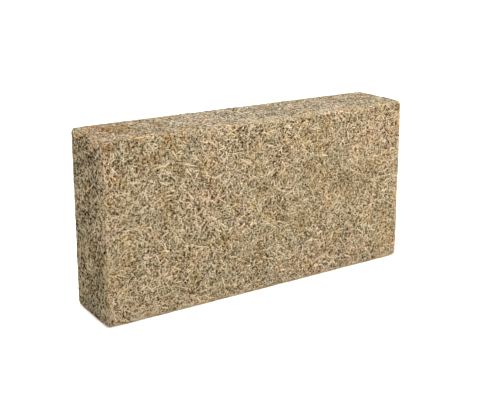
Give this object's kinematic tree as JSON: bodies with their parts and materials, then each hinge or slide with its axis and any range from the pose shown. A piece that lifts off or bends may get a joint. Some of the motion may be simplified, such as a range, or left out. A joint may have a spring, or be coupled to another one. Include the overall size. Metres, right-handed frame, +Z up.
{
  "type": "hempcrete block",
  "caption": "Plain rectangular walling block of hemp shiv and lime with eased arrises, for light insulating masonry; it stands on its long narrow bed face.",
  "frame": {"origin": "centre of the underside, the bed face that the block stands on", "axes": "+X along the length, +Y through the thickness, +Z up along the height"},
  "size_m": [0.6, 0.12, 0.3],
  "materials": {
    "hempcrete": "rough"
  },
  "bodies": {
    "root": {"hempcrete_block": "hempcrete"}
  },
  "joints": []
}
